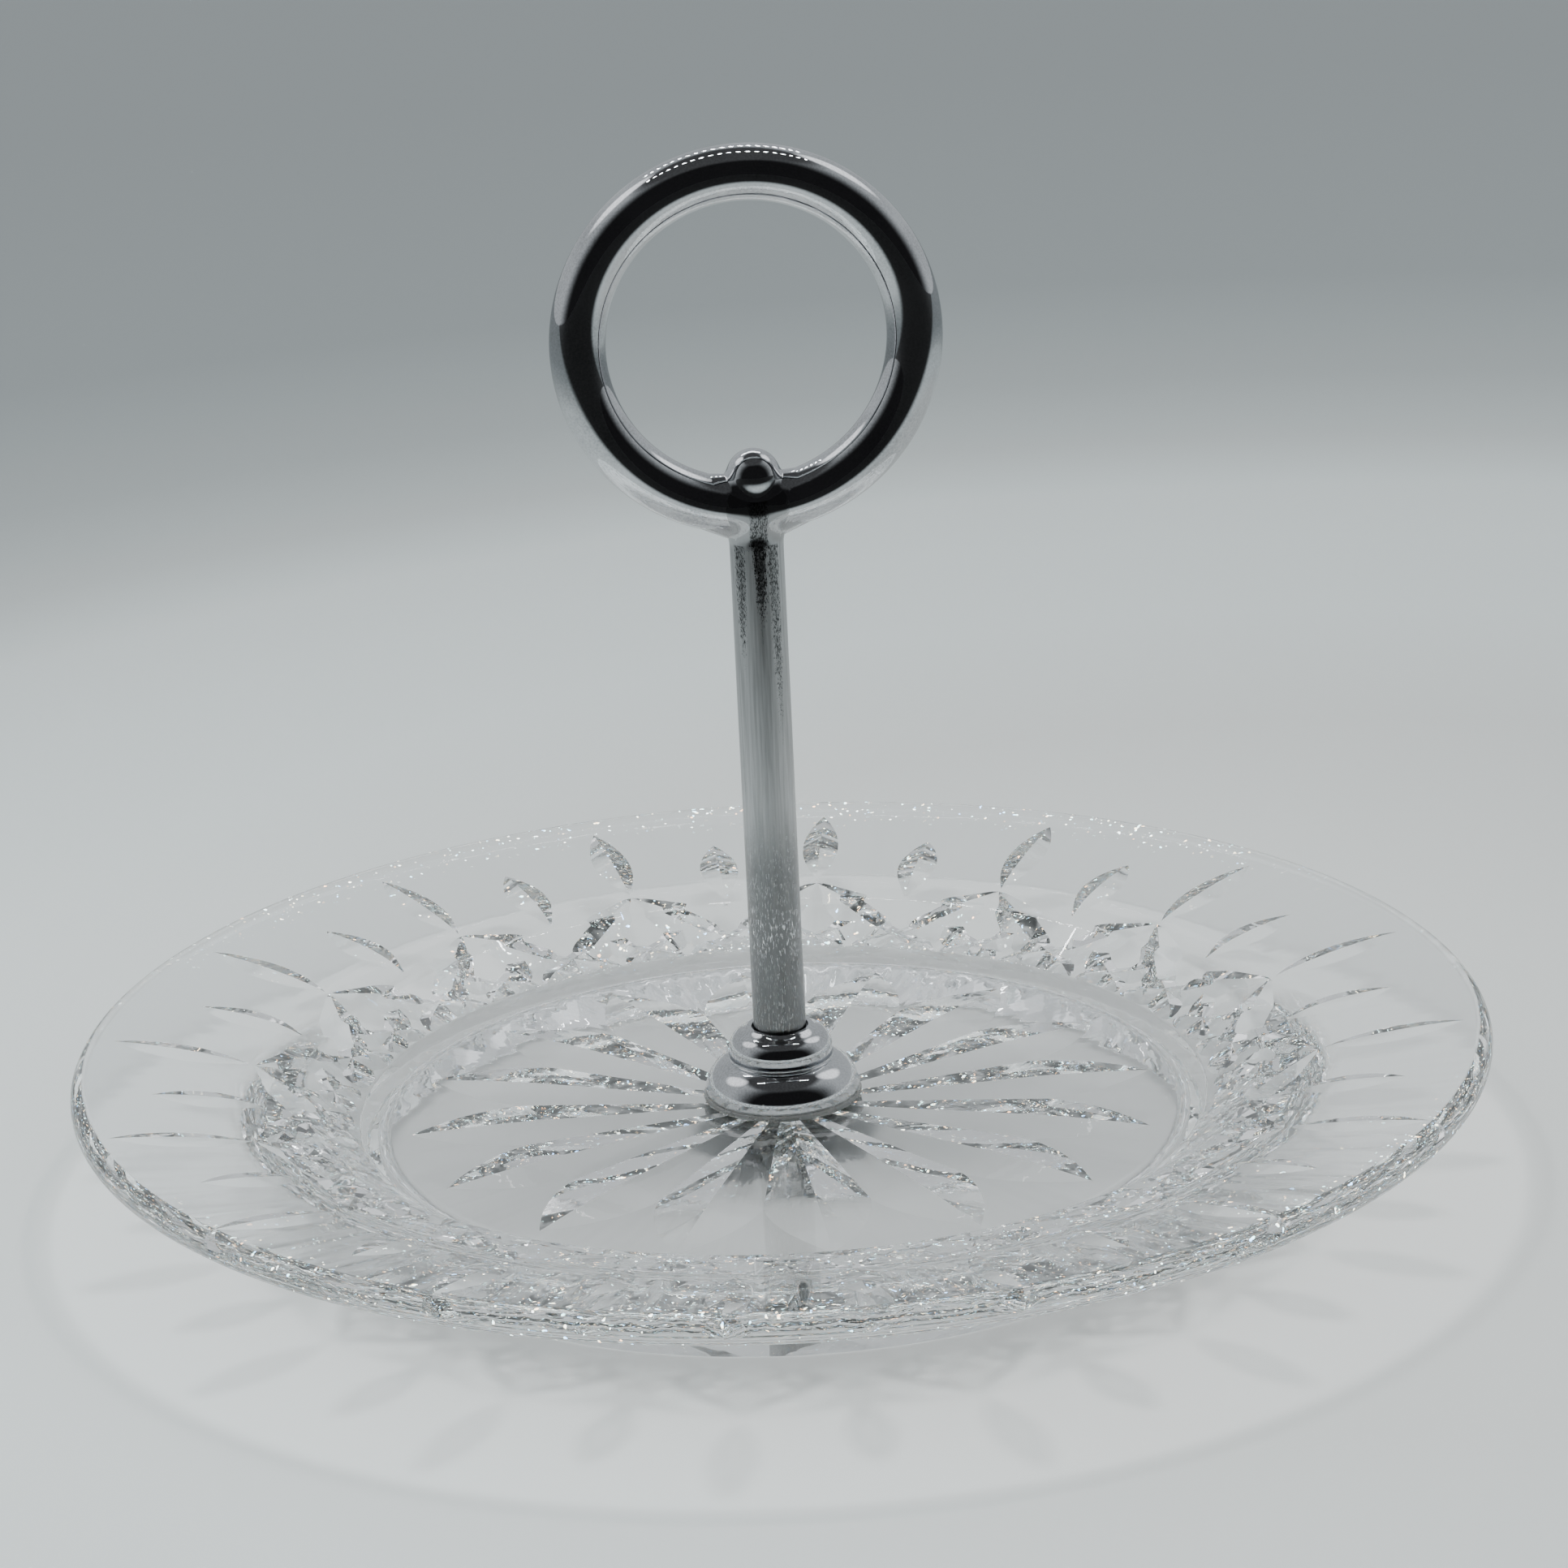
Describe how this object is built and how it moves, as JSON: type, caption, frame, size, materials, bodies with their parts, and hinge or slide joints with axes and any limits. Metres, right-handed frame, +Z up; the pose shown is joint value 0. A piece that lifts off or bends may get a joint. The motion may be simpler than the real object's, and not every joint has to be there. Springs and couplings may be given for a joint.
{
  "type": "tiered cake stand",
  "caption": "Round cut-glass cake plate on a low foot ring, with a chrome ring handle on a slim stem bolted through its centre.",
  "frame": {"origin": "middle of the circle on which the plate's foot ring rests, at table height", "axes": "+Z up along the stem; the handle's ring lies in the XZ plane, so +X runs along the ring and Y through its hole"},
  "size_m": [0.215, 0.215, 0.1591],
  "materials": {
    "crystal": "clear polished lead glass with wheel-cut facets",
    "clear_vinyl": "soft, slightly cloudy vinyl",
    "bright_chrome": "bright plating with fine wear",
    "worn_chrome": "worn plating with vertical polishing lines",
    "plated_steel": "dull zinc plating"
  },
  "bodies": {
    "plate": {"plate": "crystal", "top_cushion_washer": "clear_vinyl", "lower_cushion_washer": "clear_vinyl", "steel_washer": "plated_steel", "nut": "plated_steel"},
    "collar": {"collar": "bright_chrome"},
    "handle": {"handle_ring": "bright_chrome", "bead": "bright_chrome", "stem": "worn_chrome", "threaded_stud": "plated_steel"}
  },
  "joints": [
    {"name": "handle_turn", "type": "hinge", "parent": "plate", "child": "collar", "pos_m": [0, 0, 0], "axis": [0, 0, 1], "range_deg": [0, 2250]},
    {"name": "handle_rise", "type": "slide", "parent": "collar", "child": "handle", "axis": [0, 0, 1], "range_m": [0, 0.005]}
  ],
  "couplings": [
    {"joint": "handle_turn", "follows": "handle_rise", "rad_per_m": 7854}
  ]
}
